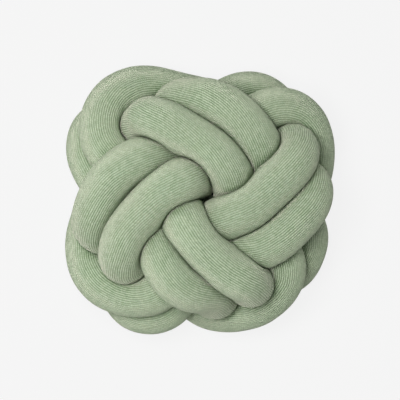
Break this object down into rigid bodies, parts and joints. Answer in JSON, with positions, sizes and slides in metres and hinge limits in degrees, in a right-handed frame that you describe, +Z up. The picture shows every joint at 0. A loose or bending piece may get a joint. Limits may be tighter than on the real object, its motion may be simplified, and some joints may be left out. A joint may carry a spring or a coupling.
{
  "type": "knot cushion",
  "caption": "Round decorative cushion made of a long stuffed knitted tube plaited over and under itself into a flattened ball, lying on its back.",
  "frame": {"origin": "centre of the outline in plan, on the surface the cushion lies on", "axes": "+Z up through the crown, out of the face that is seen; +Y towards the top of the picture"},
  "size_m": [0.3018, 0.301, 0.1794],
  "materials": {
    "knit_cloth": "matte fine knit"
  },
  "bodies": {
    "root": {"knotted_tube": "knit_cloth"}
  },
  "joints": []
}
